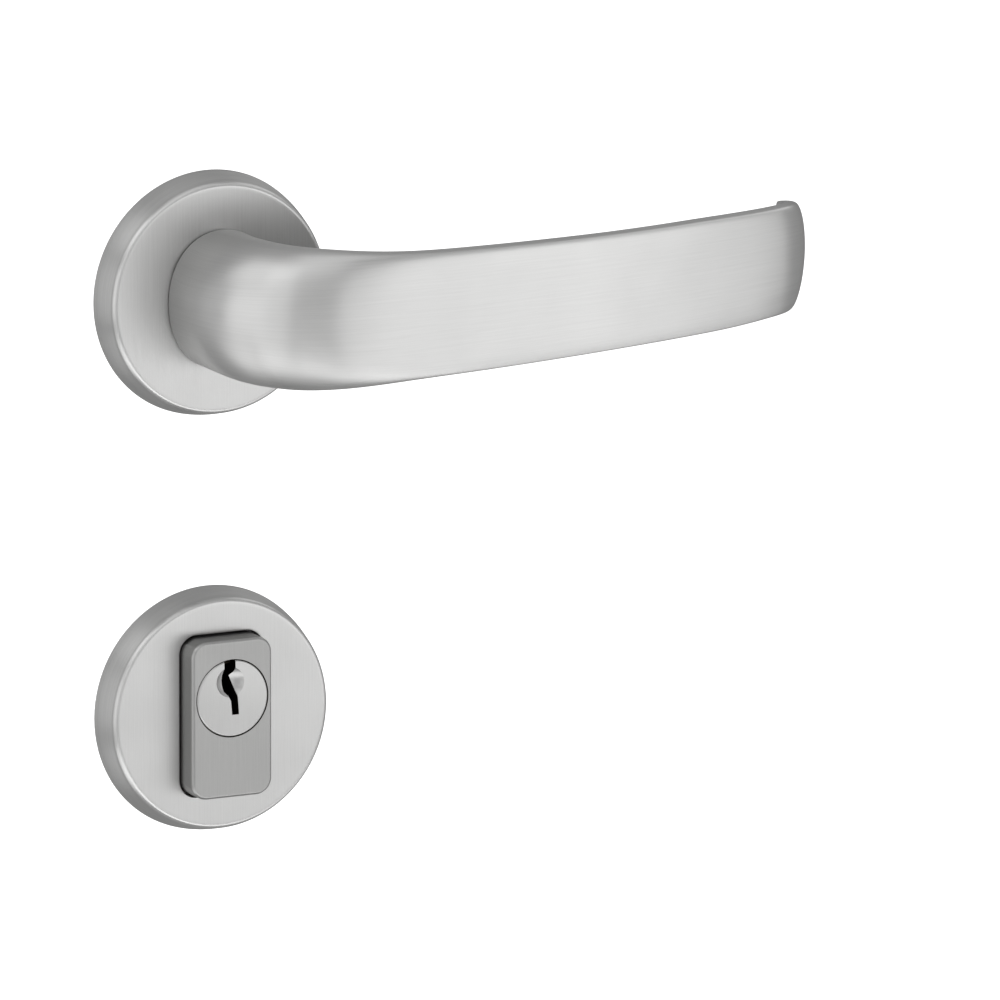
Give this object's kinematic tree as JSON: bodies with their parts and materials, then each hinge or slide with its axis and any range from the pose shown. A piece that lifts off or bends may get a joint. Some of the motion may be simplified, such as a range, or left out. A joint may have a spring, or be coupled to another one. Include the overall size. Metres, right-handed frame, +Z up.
{
  "type": "lever handle lockset",
  "caption": "Outside door furniture: a sprung lever on a round rose above a pin cylinder with a keyway in a matching round escutcheon.",
  "frame": {"origin": "on the spindle axis, in the plane of the door face that the rose and escutcheon sit on", "axes": "+X from the spindle axis towards the tip of the lever, +Y into the door along the spindle, +Z up"},
  "size_m": [0.1569, 0.0772, 0.1418],
  "materials": {
    "satin_metal": "satin brushed nickel plate: fine lengthwise grain on the lever, upright grain on the covers",
    "die_cast": "bare zinc die casting",
    "plated_steel": "zinc-plated steel",
    "spring_steel": "oiled spring steel",
    "brass": "turned brass",
    "nylon": "natural nylon"
  },
  "bodies": {
    "door_furniture": {"rose_cover": "satin_metal", "rose_plate": "die_cast", "rose_snap_ring": "spring_steel", "spring_cover": "plated_steel", "spring_cover_screw_1": "plated_steel", "spring_cover_screw_2": "plated_steel", "return_spring": "spring_steel", "neck_bush": "nylon", "fixing_lug_top": "plated_steel", "fixing_lug_bottom": "plated_steel", "rose_screw_left": "plated_steel", "rose_screw_right": "plated_steel", "escutcheon_cover": "satin_metal", "escutcheon_plate": "die_cast", "escutcheon_snap_ring": "spring_steel", "escutcheon_screw_left": "plated_steel", "escutcheon_screw_right": "plated_steel", "cylinder_body": "satin_metal", "chamber_strip": "brass", "pin_spring_1": "spring_steel", "pin_spring_2": "spring_steel", "pin_spring_3": "spring_steel", "pin_spring_4": "spring_steel", "pin_spring_5": "spring_steel"},
    "lever": {"lever_handle": "satin_metal", "lever_grub_screw": "spring_steel", "lever_circlip": "spring_steel", "spindle": "plated_steel", "spring_driver": "plated_steel"},
    "plug": {"cylinder_plug": "satin_metal", "cam": "plated_steel", "cam_screw_1": "plated_steel", "cam_screw_2": "plated_steel"},
    "key_pin_1": {"key_pin_1": "brass"},
    "driver_pin_1": {"driver_pin_1": "brass"},
    "key_pin_2": {"key_pin_2": "brass"},
    "driver_pin_2": {"driver_pin_2": "brass"},
    "key_pin_3": {"key_pin_3": "brass"},
    "driver_pin_3": {"driver_pin_3": "brass"},
    "key_pin_4": {"key_pin_4": "brass"},
    "driver_pin_4": {"driver_pin_4": "brass"},
    "key_pin_5": {"key_pin_5": "brass"},
    "driver_pin_5": {"driver_pin_5": "brass"}
  },
  "joints": [
    {"name": "lever_turn", "type": "hinge", "parent": "door_furniture", "child": "lever", "pos_m": [0, 0, 0], "axis": [0, 1, 0], "range_deg": [0, 45], "stiffness_Nm_per_rad": 0.9, "springref_deg": -34.38, "deforming": ["return_spring"]},
    {"name": "plug_turn", "type": "hinge", "parent": "door_furniture", "child": "plug", "pos_m": [0, 0, -0.085], "axis": [0, 1, 0], "continuous": true},
    {"name": "driver_pin_1_slide", "type": "slide", "parent": "door_furniture", "child": "driver_pin_1", "axis": [0, 0, -1], "range_m": [0, 0.002], "stiffness_N_per_m": 60, "springref_m": -0.003, "deforming": ["pin_spring_1"]},
    {"name": "key_pin_1_slide", "type": "slide", "parent": "plug", "child": "key_pin_1", "axis": [0, 0, 1], "range_m": [0, 0.0012]},
    {"name": "driver_pin_2_slide", "type": "slide", "parent": "door_furniture", "child": "driver_pin_2", "axis": [0, 0, -1], "range_m": [0, 0.002], "stiffness_N_per_m": 60, "springref_m": -0.003, "deforming": ["pin_spring_2"]},
    {"name": "key_pin_2_slide", "type": "slide", "parent": "plug", "child": "key_pin_2", "axis": [0, 0, 1], "range_m": [0, 0.0012]},
    {"name": "driver_pin_3_slide", "type": "slide", "parent": "door_furniture", "child": "driver_pin_3", "axis": [0, 0, -1], "range_m": [0, 0.002], "stiffness_N_per_m": 60, "springref_m": -0.003, "deforming": ["pin_spring_3"]},
    {"name": "key_pin_3_slide", "type": "slide", "parent": "plug", "child": "key_pin_3", "axis": [0, 0, 1], "range_m": [0, 0.0012]},
    {"name": "driver_pin_4_slide", "type": "slide", "parent": "door_furniture", "child": "driver_pin_4", "axis": [0, 0, -1], "range_m": [0, 0.002], "stiffness_N_per_m": 60, "springref_m": -0.003, "deforming": ["pin_spring_4"]},
    {"name": "key_pin_4_slide", "type": "slide", "parent": "plug", "child": "key_pin_4", "axis": [0, 0, 1], "range_m": [0, 0.0012]},
    {"name": "driver_pin_5_slide", "type": "slide", "parent": "door_furniture", "child": "driver_pin_5", "axis": [0, 0, -1], "range_m": [0, 0.002], "stiffness_N_per_m": 60, "springref_m": -0.003, "deforming": ["pin_spring_5"]},
    {"name": "key_pin_5_slide", "type": "slide", "parent": "plug", "child": "key_pin_5", "axis": [0, 0, 1], "range_m": [0, 0.0012]}
  ]
}
